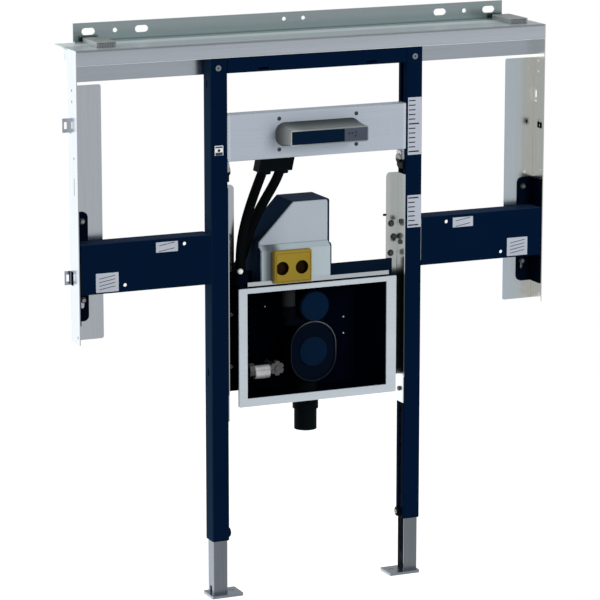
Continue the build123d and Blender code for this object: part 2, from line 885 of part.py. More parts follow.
# Trap: an oval drum and a smaller round one above it, joined by a neck, with a side inlet and an outlet below
outlet_level = trap_level - trap_stretch - trap_radius - box_wall
with BuildPart() as trap:
    with BuildSketch(facing(trap_face)):
        with Locations((0, level(trap_level))):
            SlotCenterToCenter(2 * trap_stretch, 2 * trap_radius, rotation=90)
        with Locations((0, level(trap_cap_level))):
            Circle(trap_cap_radius)
        with Locations((0, level((trap_level + trap_cap_level) / 2))):
            Rectangle(trap_neck, trap_cap_level - trap_level)
    extrude(amount=trap_face + trap_back_gap + box_wall - box_back)
    with BuildSketch(Plane.YZ.offset(inlet_x)):
        with Locations((front + inlet_depth, level(inlet_elbow_level))):
            Circle(elbow_radius)
    extrude(amount=-inlet_x - trap_neck / 2 + 1)
    with BuildSketch(Plane.XY.offset(level(inlet_elbow_level))):
        with Locations((inlet_x, front + inlet_depth)):
            Circle(elbow_radius)
    extrude(amount=inlet_nut_level - inlet_elbow_level)
    with Locations((inlet_x, front + inlet_depth, level(inlet_elbow_level))):
        Sphere(elbow_radius)
    with BuildSketch(Plane.XY.offset(level(trap_level))):
        with Locations((0, front + waste_depth)):
            Circle(waste_radius)
    extrude(amount=outlet_level - trap_level)
save(trap, "trap_body")

# Oval cover of the drum, with a raised rim and a disc in its middle
with BuildPart() as trap_cover:
    with BuildSketch(facing(trap_face)):
        with Locations((0, level(trap_level))):
            SlotCenterToCenter(2 * trap_stretch, 2 * trap_radius, rotation=90)
    extrude(amount=cover_plate)
    with BuildSketch(facing(trap_face - cover_plate)):
        with Locations((0, level(trap_level))):
            SlotCenterToCenter(2 * trap_stretch, 2 * trap_radius, rotation=90)
            inner_width = 2 * (trap_radius - cover_rim_width)
            SlotCenterToCenter(2 * trap_stretch, inner_width, rotation=90, mode=Mode.SUBTRACT)
            Circle(cover_disc_radius)
    extrude(amount=cover_rim_height)
save(trap_cover, "trap_cover")

# Round cap of the upper drum
with BuildPart() as upper_cap:
    with BuildSketch(facing(trap_face)):
        with Locations((0, level(trap_cap_level))):
            Circle(trap_cap_radius)
    extrude(amount=trap_cap_thickness)
    chamfer(upper_cap.faces().sort_by(Axis.Y)[0].edges(), trap_cap_chamfer)
save(upper_cap, "trap_upper_cap")

# Inlet pipe with its union nut, from the trap to the top of the box
with BuildPart() as inlet:
    with BuildSketch(Plane.XY.offset(level(inlet_nut_level))):
        with Locations((inlet_x, front + inlet_depth)):
            Circle(inlet_radius)
    extrude(amount=box_top - box_wall - inlet_nut_level)
    with BuildSketch(Plane.XY.offset(level(inlet_nut_level))):
        with Locations((inlet_x, front + inlet_depth)):
            RegularPolygon(inlet_nut_radius, 12)
    extrude(amount=inlet_nut_height)
save(inlet, "trap_inlet_pipe")

# Shut-off valve between the trap and the side of the box: a union nut, a round body and a hand wheel
valve_right = -trap_radius - valve_gap
valve_level = level(box_level + valve_rise)
valve_y = front + valve_depth
valve_back = valve_y + valve_nut_radius
side_slope = box_back_taper / (box_depth - box_wall)
side_at_valve = box_half_width - box_wall - side_slope * (valve_back - box_front)
valve_neck = valve_wall_gap + valve_nut_length - side_at_valve
valve_body_length = valve_right - valve_wheel_radius - valve_neck
with BuildPart() as valve:
    with BuildSketch(Plane.YZ.offset(valve_neck)):
        with Locations((valve_y, valve_level - valve_body_drop)):
            Circle(valve_body_radius)
    extrude(amount=valve_body_length)
    fillet(valve.edges().filter_by(GeomType.CIRCLE), valve_body_round)
    with BuildSketch(Plane.YZ.offset(valve_neck - valve_nut_length)):
        with Locations((valve_y, valve_level)):
            RegularPolygon(valve_nut_radius, 8)
    extrude(amount=valve_nut_length)
    with BuildSketch(Plane.YZ.offset(valve_neck - valve_nut_length)):
        with Locations((valve_y, valve_level)):
            Circle(valve_neck_radius)
    extrude(amount=valve_right - valve_neck + valve_nut_length)
    with BuildSketch(facing(valve_y + valve_wheel_thickness - valve_wheel_reach)):
        with Locations((valve_right, valve_level)):
            Circle(valve_wheel_radius)
            with PolarLocations(valve_wheel_radius, valve_wheel_notches):
                Circle(valve_notch_radius, mode=Mode.SUBTRACT)
    extrude(amount=valve_wheel_thickness)
    with BuildSketch(facing(valve_y - valve_wheel_reach)):
        with Locations((valve_right, valve_level)):
            Circle(valve_hub_radius)
    extrude(amount=valve_hub_height)
    with BuildSketch(facing(box_back - box_wall)):
        with Locations((valve_right, valve_level)):
            Circle(valve_stem_radius)
    extrude(amount=box_back - box_wall - valve_y)
save(valve, "shut_off_valve")

# Waste pipe through the floor of the box, with a collar below it
with BuildPart() as waste:
    with BuildSketch(Plane.XY.offset(level(box_level - waste_drop))):
        with Locations((0, front + waste_depth)):
            Circle(waste_radius)
    extrude(amount=outlet_level - box_level + waste_drop)
    with BuildSketch(Plane.XY.offset(level(box_level))):
        with Locations((0, front + waste_depth)):
            Circle(collar_radius)
    extrude(amount=-collar_height)
save(waste, "waste_pipe")
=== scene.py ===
import json
import math

import bmesh
import bpy
import numpy as np
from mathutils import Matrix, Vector


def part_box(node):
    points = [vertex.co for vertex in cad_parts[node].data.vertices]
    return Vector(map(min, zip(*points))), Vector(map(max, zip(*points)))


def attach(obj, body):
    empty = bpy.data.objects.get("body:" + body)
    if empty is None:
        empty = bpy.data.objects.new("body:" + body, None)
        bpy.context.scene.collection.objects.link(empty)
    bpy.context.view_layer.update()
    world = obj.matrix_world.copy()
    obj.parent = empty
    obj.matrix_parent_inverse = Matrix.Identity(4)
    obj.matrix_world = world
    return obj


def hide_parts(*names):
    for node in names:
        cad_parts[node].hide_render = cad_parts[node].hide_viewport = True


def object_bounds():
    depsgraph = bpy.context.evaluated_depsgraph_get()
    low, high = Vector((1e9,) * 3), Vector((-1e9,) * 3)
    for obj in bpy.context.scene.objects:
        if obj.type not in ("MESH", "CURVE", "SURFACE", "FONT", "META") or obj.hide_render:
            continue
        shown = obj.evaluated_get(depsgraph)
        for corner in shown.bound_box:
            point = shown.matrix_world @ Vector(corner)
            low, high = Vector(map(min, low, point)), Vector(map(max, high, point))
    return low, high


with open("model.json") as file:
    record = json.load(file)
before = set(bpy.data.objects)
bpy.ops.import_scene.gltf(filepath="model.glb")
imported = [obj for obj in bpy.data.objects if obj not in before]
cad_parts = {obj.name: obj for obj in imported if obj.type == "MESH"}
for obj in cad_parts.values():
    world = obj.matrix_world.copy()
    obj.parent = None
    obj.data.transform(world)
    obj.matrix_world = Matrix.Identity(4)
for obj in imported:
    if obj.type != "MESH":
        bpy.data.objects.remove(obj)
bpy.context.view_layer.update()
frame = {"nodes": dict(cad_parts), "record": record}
nodes = frame["nodes"]
print("frame loaded:", len(nodes), "nodes")

# places are counted in mm from the middle of the frame, the fronts of the posts and the bottoms of the posts
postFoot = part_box("left_post_base")[0]


def place(x, depth, height):
    return np.array([x, depth, height]) / 1000 + np.array([0, postFoot.y, postFoot.z])


# directions for pieces that stand on a face: along it, up it, and away from it
lookFront = ((1, 0, 0), (0, 0, 1), (0, -1, 0))
lookLeft = ((0, -1, 0), (0, 0, 1), (-1, 0, 0))
lookRight = ((0, 1, 0), (0, 0, 1), (1, 0, 0))
lookUp = ((1, 0, 0), (0, 1, 0), (0, 0, 1))

# sockets of a mix node: its share, two numbers, two colours, and the mixed colour
mixShare, numberA, numberB, colourA, colourB, mixedColour = 0, 2, 3, 6, 7, 2
white = (1, 1, 1, 1)


def newGroup(name, inputs, outputs):
    group = bpy.data.node_groups.new(name, "ShaderNodeTree")
    for label, kind, value in inputs:
        socket = group.interface.new_socket(name=label, in_out="INPUT", socket_type=kind)
        if value is not None:
            socket.default_value = value
    for label, kind in outputs:
        group.interface.new_socket(name=label, in_out="OUTPUT", socket_type=kind)
    return group, group.nodes.new("NodeGroupInput"), group.nodes.new("NodeGroupOutput")


def addNode(tree, kind, links=(), **values):
    # a value is set on the node itself, or on the input of that name with spaces for underscores
    node = tree.nodes.new(kind)
    for key, value in values.items():
        if hasattr(node, key):
            setattr(node, key, value)
        else:
            node.inputs[key.replace("_", " ")].default_value = value
    for source, target in links:
        tree.links.new(source, node.inputs[target])
    return node


def mixColours(tree, share, first, second, blend="MIX"):
    # share, first and second are plain values or the sockets that give them
    node = addNode(tree, "ShaderNodeMix", data_type="RGBA", blend_type=blend)
    for socket, source in ((mixShare, share), (colourA, first), (colourB, second)):
        if isinstance(source, bpy.types.NodeSocket):
            tree.links.new(source, node.inputs[socket])
        else:
            node.inputs[socket].default_value = source
    return node.outputs[mixedColour]


def makeSheetStreaks():
    # streaks from one stretched noise and slow clouds from another;
    # the mask mixes both, and the height is the streaks alone
    group, start, end = newGroup(
        "sheetStreaks",
        [("Vector", "NodeSocketVector", None), ("Streak", "NodeSocketFloat", 60.0), ("Cloud", "NodeSocketFloat", 5.0)],
        [("Mask", "NodeSocketFloat"), ("Height", "NodeSocketFloat")],
    )
    vector = (start.outputs["Vector"], "Vector")
    streak = addNode(group, "ShaderNodeTexNoise", [vector, (start.outputs["Streak"], "Scale")],
                     Detail=5.0, Roughness=0.65)
    cloud = addNode(group, "ShaderNodeTexNoise", [vector, (start.outputs["Cloud"], "Scale")], Detail=2.0)
    both = addNode(group, "ShaderNodeMix", [(streak.outputs["Fac"], numberA), (cloud.outputs["Fac"], numberB)],
                   Factor=0.45)
    spread = addNode(group, "ShaderNodeMapRange", [(both.outputs[0], "Value")], From_Min=0.3, From_Max=0.7)
    group.links.new(spread.outputs["Result"], end.inputs["Mask"])
    group.links.new(streak.outputs["Fac"], end.inputs["Height"])
    return group


def makeMouldGrain():
    # fine cells for moulded or sprayed skins over a slow change of tone
    group, start, end = newGroup(
        "mouldGrain",
        [("Vector", "NodeSocketVector", None), ("Grain", "NodeSocketFloat", 900.0), ("Cloud", "NodeSocketFloat", 7.0)],
        [("Mask", "NodeSocketFloat"), ("Height", "NodeSocketFloat")],
    )
    vector = (start.outputs["Vector"], "Vector")
    grain = addNode(group, "ShaderNodeTexNoise", [vector, (start.outputs["Grain"], "Scale")], Detail=2.0, Roughness=0.5)
    cloud = addNode(group, "ShaderNodeTexNoise", [vector, (start.outputs["Cloud"], "Scale")], Detail=3.0)
    both = addNode(group, "ShaderNodeMix", [(cloud.outputs["Fac"], numberA), (grain.outputs["Fac"], numberB)],
                   Factor=0.3)
    spread = addNode(group, "ShaderNodeMapRange", [(both.outputs[0], "Value")], From_Min=0.32, From_Max=0.68)
    group.links.new(spread.outputs["Result"], end.inputs["Mask"])
    group.links.new(grain.outputs["Fac"], end.inputs["Height"])
    return group


def makeSlopeShade():
    # share = distance from a middle along a direction, to one side or to both, between two places;
    # it is shaken a little by noise and eased at both ends
    group, start, end = newGroup(
        "slopeShade",
        [("Vector", "NodeSocketVector", None), ("Direction", "NodeSocketVector", None),
         ("Middle", "NodeSocketFloat", 0.0), ("Both Sides", "NodeSocketFloat", 0.0),
         ("From", "NodeSocketFloat", 0.0), ("To", "NodeSocketFloat", 1.0), ("Shake", "NodeSocketFloat", 0.0008)],
        [("Share", "NodeSocketFloat")],
    )
    given = start.outputs
    reach = addNode(group, "ShaderNodeVectorMath", [(given["Vector"], 0), (given["Direction"], 1)],
                    operation="DOT_PRODUCT")
    away = addNode(group, "ShaderNodeMath", [(reach.outputs["Value"], 0), (given["Middle"], 1)], operation="SUBTRACT")
    size = addNode(group, "ShaderNodeMath", [(away.outputs[0], 0)], operation="ABSOLUTE")
    chosen = addNode(group, "ShaderNodeMix", [(given["Both Sides"], mixShare), (away.outputs[0], numberA),
                                              (size.outputs[0], numberB)])
    noise = addNode(group, "ShaderNodeTexNoise", [(given["Vector"], "Vector")], Scale=14.0, Detail=2.0)
    middle = addNode(group, "ShaderNodeMath", [(noise.outputs["Fac"], 0)], operation="SUBTRACT")
    middle.inputs[1].default_value = 0.5
    shaken = addNode(group, "ShaderNodeMath", [(middle.outputs[0], 0), (given["Shake"], 1), (chosen.outputs[0], 2)],
                     operation="MULTIPLY_ADD")
    share = addNode(group, "ShaderNodeMapRange", [(shaken.outputs[0], "Value"), (given["From"], "From Min"),
                                                  (given["To"], "From Max")], interpolation_type="SMOOTHSTEP")
    group.links.new(share.outputs["Result"], end.inputs["Share"])
    return group


sheetStreaks = makeSheetStreaks()
mouldGrain = makeMouldGrain()
slopeShade = makeSlopeShade()
print("shader groups ready")


def makeFinish(name, group, dark, light, rough, stretch=(1, 1, 1), bump=0.05, groupValues=(), shades=(), **plain):
    # the group's mask moves the colour from dark to light and the roughness between two values;
    # each shade is (direction, from, to, tint): the colour is tinted at "from" and untouched at "to";
    # a fifth value is the middle that a shade to both sides is counted from
    # most shades paint light or shade into the colour; on the clamps and the inlet pipe they part two real tones
    material = bpy.data.materials.new(name)
    material.use_nodes = True
    tree = material.node_tree
    shader = tree.nodes["Principled BSDF"]
    coordinates = tree.nodes.new("ShaderNodeTexCoord")
    mapping = addNode(tree, "ShaderNodeMapping", [(coordinates.outputs["Object"], "Vector")], Scale=stretch)
    effect = addNode(tree, "ShaderNodeGroup", node_tree=group)
    tree.links.new(mapping.outputs["Vector"], effect.inputs["Vector"])
    for label, value in groupValues:
        effect.inputs[label].default_value = value
    colour = mixColours(tree, effect.outputs["Mask"], (*dark, 1), (*light, 1))
    for way, low, high, tint, *middle in shades:
        slope = addNode(tree, "ShaderNodeGroup", node_tree=slopeShade)
        tree.links.new(coordinates.outputs["Object"], slope.inputs["Vector"])
        slope.inputs["Direction"].default_value = way
        slope.inputs["From"].default_value = low
        slope.inputs["To"].default_value = high
        if middle:
            slope.inputs["Middle"].default_value = middle[0]
            slope.inputs["Both Sides"].default_value = 1.0
        veil = mixColours(tree, slope.outputs["Share"], (*tint, 1), white)
        colour = mixColours(tree, 1.0, colour, veil, "MULTIPLY")
    tree.links.new(colour, shader.inputs["Base Color"])
    gloss = addNode(tree, "ShaderNodeMapRange", [(effect.outputs["Mask"], "Value")], To_Min=rough[0], To_Max=rough[1])
    tree.links.new(gloss.outputs["Result"], shader.inputs["Roughness"])
    relief = addNode(tree, "ShaderNodeBump", [(effect.outputs["Height"], "Height")], Strength=bump, Distance=0.001)
    tree.links.new(relief.outputs["Normal"], shader.inputs["Normal"])
    for label, value in plain.items():
        shader.inputs[label.replace("_", " ")].default_value = value
    return material


# where the tones change, in metres; the levels are in mm above the bottoms of the posts
level = {"boxTop": 560.5, "clampSplit": 811, "boxMiddle": 445, "trapMiddle": 397}
boxTop, clampSplit, boxMiddle, trapMiddle = (place(0, 0, height)[2] for height in level.values())
nutHeight = 0.024
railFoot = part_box("wall_rail")[0].z
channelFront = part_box("top_channel")[0].y
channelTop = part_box("top_channel")[1].z
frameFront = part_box("box_front_frame")[0].y
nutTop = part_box("trap_inlet_pipe")[0].z + nutHeight
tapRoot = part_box("tap_body")[1].y
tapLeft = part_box("tap_body")[0].x
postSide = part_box("left_post")[0].x
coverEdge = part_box("valve_cover")[0].x
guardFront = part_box("connection_guard")[0].y
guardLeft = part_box("connection_guard")[0].x
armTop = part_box("left_arm")[1].z
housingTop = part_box("valve_housing")[1].z
valveMiddle = -0.115
valveEnd, barEnd = (0.021, 0.015), (0.2048, 0.2036)  # counted from their middles
boxReach = (0.106, 0.122)  # counted up and down from the middle of the box
flangeReach = (0.5, 0.548)

# what several finishes share: directions of the streaks, their fineness, and tones with their roughness
alongX = (0.03, 1.0, 1.0)  # streaks run along the wide sheets
alongZ = (1.0, 1.0, 0.03)  # streaks run up the tall sheets
wideGrain = (("Streak", 140.0), ("Cloud", 9.0))
tallGrain = (("Streak", 160.0), ("Cloud", 9.0))
legGrain = (("Streak", 180.0), ("Cloud", 12.0))
screwGrain = (("Streak", 300.0),)
sheetGloss, plasticGloss, trapGloss = (0.17, 0.28), (0.42, 0.55), (0.35, 0.5)
navyTones = ((0.0011, 0.0078, 0.027), (0.0015, 0.0089, 0.0305), (0.34, 0.46))
matt = {"bump": 0.06, "IOR": 1.05, "Specular_IOR_Level": 0.12}
finishes = {
    "navy_paint": makeFinish("navyPaint", mouldGrain, *navyTones, **matt),
    # painted light: the left post's left side is tinted lighter
    "post_navy": makeFinish("postNavy", mouldGrain, *navyTones,  # lighter on the left side
                            shades=(((1, 0, 0), postSide + 0.0006, postSide + 0.003, (8.0, 3.4, 2.1)),), **matt),
    # painted light: the arms' tops are tinted lighter
    "arm_navy": makeFinish("armNavy", mouldGrain, *navyTones,  # lighter on top
                           shades=(((0, 0, 1), armTop - 0.0004, armTop - 0.0016, (11.0, 3.6, 2.4)),), **matt),
    "bracket_navy": makeFinish("bracketNavy", mouldGrain, (0.0006, 0.0028, 0.0082), (0.0010, 0.0038, 0.0112),
                               (0.36, 0.5), **matt),
    "zinc_upright": makeFinish("zincUpright", sheetStreaks, (0.69, 0.745, 0.815), (0.805, 0.86, 0.93), sheetGloss,
                               alongZ, 0.02, tallGrain, Metallic=1.0),
    "leg_zinc": makeFinish("legZinc", sheetStreaks, (0.248, 0.282, 0.324), (0.322, 0.356, 0.398), (0.22, 0.36),
                           alongZ, 0.03, legGrain, Metallic=1.0),
    # painted light: a brighter copy of the leg zinc for the foot plates
    "foot_zinc": makeFinish("footZinc", sheetStreaks, (0.33, 0.37, 0.43), (0.42, 0.465, 0.53), (0.22, 0.36),
                            alongZ, 0.03, legGrain, Metallic=1.0),
    # painted highlights: the bar's bent ends are tinted lighter
    "bar_zinc": makeFinish("barZinc", sheetStreaks, (0.55, 0.62, 0.71), (0.595, 0.665, 0.755), (0.24, 0.36),
                           alongX, 0.02, (("Streak", 170.0), ("Cloud", 10.0)),  # lighter at both ends
                           (((1, 0, 0), *barEnd, (1.17, 1.16, 1.14), 0.0),), Metallic=0.5, IOR=1.1),
    "black_plastic": makeFinish("blackPlastic", mouldGrain, (0.0016, 0.0030, 0.0036), (0.0036, 0.0058, 0.0068),
                                (0.4, 0.55), bump=0.12, IOR=1.07),
    # painted shade darkens the tap towards its root on the bar; painted light brightens its left end
    "tap_grey": makeFinish("tapGrey", mouldGrain, (0.23, 0.255, 0.26), (0.28, 0.305, 0.31), (0.35, 0.45), bump=0.04,
                           shades=(((0, -1, 0), -tapRoot, -tapRoot + 0.06, (0.2, 0.21, 0.215)),
                                   ((1, 0, 0), tapLeft, tapLeft + 0.05, (1.9, 1.85, 1.8))), IOR=1.15),
    "navy_panel": makeFinish("navyPanel", mouldGrain, (0.0020, 0.0098, 0.027), (0.0026, 0.0112, 0.031), (0.28, 0.36),
                             bump=0.03, IOR=1.06),
    "sensor_grey": makeFinish("sensorGrey", mouldGrain, (0.055, 0.07, 0.095), (0.075, 0.09, 0.12), (0.3, 0.4),
                              bump=0.03, IOR=1.2),
    # painted shade darkens the inside of the box below its top; the box is also darker towards the left
    "box_plastic": makeFinish("boxPlastic", mouldGrain, (0.0024, 0.0086, 0.022), (0.0032, 0.0112, 0.028), (0.4, 0.55),
                              bump=0.1, shades=(((0, 0, 1), boxTop - 0.006, boxTop - 0.002, (0.12, 0.16, 0.22)),
                                                ((1, 0, 0), -0.1, -0.02, (0.3, 0.3, 0.3))), IOR=1.05),
    # painted shade darkens the frame's sides behind its front face
    "frame_aluminium": makeFinish("frameAluminium", sheetStreaks, (0.515, 0.57, 0.625), (0.585, 0.645, 0.70),
                                  (0.38, 0.5), alongX, 0.03, (("Streak", 200.0), ("Cloud", 12.0)),
                                  (((0, -1, 0), -frameFront - 0.004, -frameFront - 0.002, (0.03, 0.035, 0.04)),),
                                  Metallic=0.0, IOR=1.3),
    # painted light: the housing's top is tinted lighter
    "housing_plastic": makeFinish("housingPlastic", mouldGrain, (0.0034, 0.0125, 0.030), (0.0046, 0.0158, 0.037),
                                  (0.4, 0.52), bump=0.1,
                                  shades=(((0, 0, 1), housingTop - 0.0004, housingTop - 0.0016, (6.0, 2.6, 2.0)),),
                                  IOR=1.06, Specular_IOR_Level=0.1),
    # painted shade: the cover darkens towards its left edge
    "cover_plastic": makeFinish("coverPlastic", mouldGrain, (0.40, 0.45, 0.505), (0.45, 0.505, 0.56), plasticGloss,
                                bump=0.06, IOR=1.25,
                                shades=(((1, 0, 0), coverEdge + 0.01, coverEdge + 0.085, (0.8, 0.81, 0.82)),)),
    "yellow_plastic": makeFinish("yellowPlastic", mouldGrain, (0.27, 0.19, 0.018), (0.34, 0.24, 0.026), (0.4, 0.5),
                                 bump=0.08, IOR=1.3),
    "tube_rubber": makeFinish("tubeRubber", mouldGrain, (0.0012, 0.0018, 0.002), (0.003, 0.004, 0.0045), (0.5, 0.68),
                              bump=0.25, groupValues=(("Grain", 500.0),), IOR=1.07),
    "trap_black": makeFinish("trapBlack", mouldGrain, (0.0008, 0.0016, 0.0036), (0.0014, 0.0028, 0.006), trapGloss,
                             bump=0.08, IOR=1.07),
    "trap_ring": makeFinish("trapRing", mouldGrain, (0.0010, 0.0034, 0.0090), (0.0016, 0.0046, 0.012), trapGloss,
                            bump=0.08, IOR=1.07),
    # painted highlight: the rim's grey, lightest at the upper right
    "rim_grey": makeFinish("rimGrey", mouldGrain, (0.08, 0.087, 0.092), (0.125, 0.132, 0.138), (0.25, 0.4), bump=0.05,
                           shades=(((0.6, 0, 0.8), 0.8 * trapMiddle, 0.8 * trapMiddle + 0.07, (0.1, 0.115, 0.135)),),
                           IOR=1.2),
    "trap_plastic": makeFinish("trapPlastic", mouldGrain, (0.0016, 0.0090, 0.027), (0.0024, 0.012, 0.035), trapGloss,
                               bump=0.08, IOR=1.07),
    "pipe_grey": makeFinish("pipeGrey", mouldGrain, (0.012, 0.014, 0.016), (0.018, 0.020, 0.022), (0.35, 0.45),
                            bump=0.05, IOR=1.08,
                            shades=(((0, 0, 1), nutTop - 0.0005, nutTop + 0.0005, (0.05, 0.08, 0.14)),)),
    # painted dark reflections darken both ends of the valve
    "valve_chrome": makeFinish("valveChrome", sheetStreaks, (0.42, 0.42, 0.43), (0.8, 0.8, 0.81), (0.22, 0.4),
                               bump=0.04, groupValues=(("Streak", 90.0), ("Cloud", 40.0)), Metallic=0.45,
                               shades=(((1, 0, 0), *valveEnd, (0.17, 0.17, 0.175), valveMiddle),)),  # dark ends
    # painted shade: darker towards the rail's foot
    "rail_zinc": makeFinish("railZinc", sheetStreaks, (0.46, 0.55, 0.57), (0.53, 0.62, 0.64), sheetGloss,
                            alongX, 0.02, wideGrain,
                            (((0, 0, 1), railFoot, railFoot + 0.03, (0.8, 0.83, 0.81)),), Metallic=1.0),
    # tints that paint light and shade: a darker front, a darker top and edge, the plate behind that edge and its rear
    # lighter, a fade from the top
    "channel_zinc": makeFinish("channelZinc", sheetStreaks, (0.74, 0.83, 0.86), (0.82, 0.91, 0.94), (0.24, 0.34),
                               alongX, 0.02, wideGrain,
                               (((0, 1, 0), channelFront + 0.0004, channelFront + 0.002, (0.58, 0.57, 0.605)),
                                ((0, 0, 1), channelTop - 0.0022, channelTop - 0.005, (0.66, 0.66, 0.66)),
                                ((0, -1, 0), -channelFront - 0.014, -channelFront - 0.008, (1.36, 1.38, 1.39)),
                                ((0, -1, 0), -channelFront - 0.1, -channelFront - 0.06, (1.6, 1.6, 1.6)),
                                ((0, 0, -1), -channelTop, 0.028 - channelTop, (0.92, 0.92, 0.92))),
                               Metallic=0.3, IOR=1.1),
    # painted light: a brighter copy of the upright zinc, tinted bluer away from its bend
    "zinc_right": makeFinish("zincRight", sheetStreaks, (0.83, 0.835, 0.795), (0.94, 0.94, 0.895), sheetGloss,
                             alongZ, 0.02, tallGrain,  # bluer away from its bend
                             (((1, 0, 0), *flangeReach, (0.87, 0.98, 1.11)),), Metallic=1.0),
    # painted light: a brighter copy of the upright zinc, with a painted dark reflection of the box beside it
    "rail_right": makeFinish("railRight", sheetStreaks, (0.80, 0.835, 0.825), (0.91, 0.94, 0.93), sheetGloss,
                             alongZ, 0.02, tallGrain,  # dark beside the box
                             (((0, 0, 1), *boxReach, (0.13, 0.16, 0.16), boxMiddle),), Metallic=1.0),
    "strip_zinc": makeFinish("stripZinc", sheetStreaks, (0.76, 0.84, 0.91), (0.87, 0.95, 1.0), (0.2, 0.3),
                             alongX, 0.02, wideGrain, Metallic=1.0),
    # painted shade: a dark line on the upper bend
    "bend_zinc": makeFinish("bendZinc", sheetStreaks, (0.62, 0.65, 0.66), (0.8, 0.83, 0.84), (0.3, 0.45),
                            alongX, 0.02, (("Streak", 200.0), ("Cloud", 14.0)),  # dark on the upper bend
                            (((0, 0, 1), channelTop - 0.003, channelTop - 0.006, (0.42, 0.44, 0.46)),), Metallic=0.2),
    "clamp_mix": makeFinish("clampMix", sheetStreaks, (0.28, 0.30, 0.31), (0.45, 0.47, 0.48), (0.35, 0.5),
                            bump=0.04, groupValues=(("Streak", 120.0), ("Cloud", 30.0)),
                            shades=(((0, 0, 1), clampSplit - 0.001, clampSplit + 0.001, (0.012, 0.016, 0.018)),),
                            Metallic=0.2, IOR=1.1),
    "hat_zinc": makeFinish("hatZinc", sheetStreaks, (0.42, 0.46, 0.45), (0.55, 0.59, 0.58), (0.4, 0.5),
                           bump=0.03, groupValues=(("Streak", 120.0), ("Cloud", 20.0)), Metallic=0.7),
    "angle_zinc": makeFinish("angleZinc", sheetStreaks, (0.585, 0.645, 0.72), (0.67, 0.73, 0.81), sheetGloss,
                             alongX, 0.02, wideGrain, Metallic=1.0),
    "screw_zinc": makeFinish("screwZinc", sheetStreaks, (0.34, 0.36, 0.39), (0.5, 0.52, 0.55), (0.26, 0.42),
                             groupValues=screwGrain, Metallic=1.0),
    "screw_dark": makeFinish("screwDark", sheetStreaks, (0.09, 0.095, 0.1), (0.15, 0.155, 0.165), (0.3, 0.42),
                             groupValues=screwGrain, Metallic=1.0),
    "label_paper": makeFinish("labelPaper", mouldGrain, (0.43, 0.47, 0.545), (0.505, 0.545, 0.615), (0.5, 0.62),
                              IOR=1.3),
    "label_ink": makeFinish("labelInk", mouldGrain, (0.012, 0.015, 0.02), (0.022, 0.026, 0.034), (0.45, 0.6),
                            bump=0.03, IOR=1.3),
    # painted shadow of the yellow guard beside its left edge, and painted shade fading out over the guard's left part
    "base_cover_plastic": makeFinish("baseCoverPlastic", mouldGrain, (0.42, 0.50, 0.545), (0.47, 0.55, 0.60),
                                     plasticGloss, bump=0.06, IOR=1.25,
                                     shades=(((1, 0, 0), 0.006, 0.026, (0.26, 0.26, 0.255), guardLeft - 0.002),
                                             ((1, 0, 0), guardLeft, guardLeft + 0.055, (0.86, 0.87, 0.87)))),
    "yellow_edge": makeFinish("yellowEdge", mouldGrain, (0.17, 0.10, 0.010), (0.22, 0.135, 0.014), (0.4, 0.5),
                              bump=0.08, IOR=1.3),
    "hole_brown": makeFinish("holeBrown", mouldGrain, (0.012, 0.006, 0.0015), (0.02, 0.010, 0.003), (0.5, 0.6),
                             IOR=1.1),
    "knob_white": makeFinish("knobWhite", mouldGrain, (0.78, 0.8, 0.8), (0.88, 0.89, 0.89), (0.3, 0.4),
                             bump=0.03, IOR=1.4),
}
# nodes with a finish of their own; the others wear the one named like their slot
ownFinish = {"left_side_panel": "zinc_upright", "right_side_panel": "zinc_right", "left_box_rail": "zinc_upright",
             "right_box_rail": "rail_right", "valve_base_cover": "base_cover_plastic", "box_top_strip": "strip_zinc",
             "left_post": "post_navy", "left_post_base": "post_navy", "wall_rail": "rail_zinc",
             "cross_angle": "angle_zinc", "top_channel": "channel_zinc", "trap_body": "trap_black",
             "trap_cover": "trap_ring"}
pairFinish = {"arm": "arm_navy", "arm_bracket": "bracket_navy", "crossbar_clamp": "clamp_mix",
              "wall_bracket": "hat_zinc", "foot_plate": "foot_zinc"}
for ending, finish in pairFinish.items():
    ownFinish["left_" + ending] = ownFinish["right_" + ending] = finish
for entry in frame["record"]["subparts"]:
    name = entry["node"]
    finish = finishes[ownFinish.get(name, entry["material_slot"])]
    nodes[name].data.materials.clear()
    nodes[name].data.materials.append(finish)
print("finishes set:", len(finishes))


def circleOutline(radius, count=40):
    # x = r cos a, y = r sin a
    angle = np.linspace(0, 2 * np.pi, count, endpoint=False)
    return radius * np.stack([np.cos(angle), np.sin(angle)], 1)


def hexOutline(radius, count=48):
    # r(a) = R cos 30 / cos((a mod 60) - 30), a hexagon in polar form
    angle = np.linspace(0, 2 * np.pi, count, endpoint=False)
    reach = radius * np.cos(np.pi / 6) / np.cos(np.mod(angle, np.pi / 3) - np.pi / 6)
    return reach[:, None] * np.stack([np.cos(angle), np.sin(angle)], 1)


def plateOutline(width, height, power=14, count=64):
    # a squared ellipse: |x/a|^p + |y/b|^p = 1
    angle = np.linspace(0, 2 * np.pi, count, endpoint=False) + np.pi / count
    bend = 2 / power
    x = width / 2 * np.sign(np.cos(angle)) * np.abs(np.cos(angle)) ** bend
    y = height / 2 * np.sign(np.sin(angle)) * np.abs(np.sin(angle)) ** bend
    return np.stack([x, y], 1)


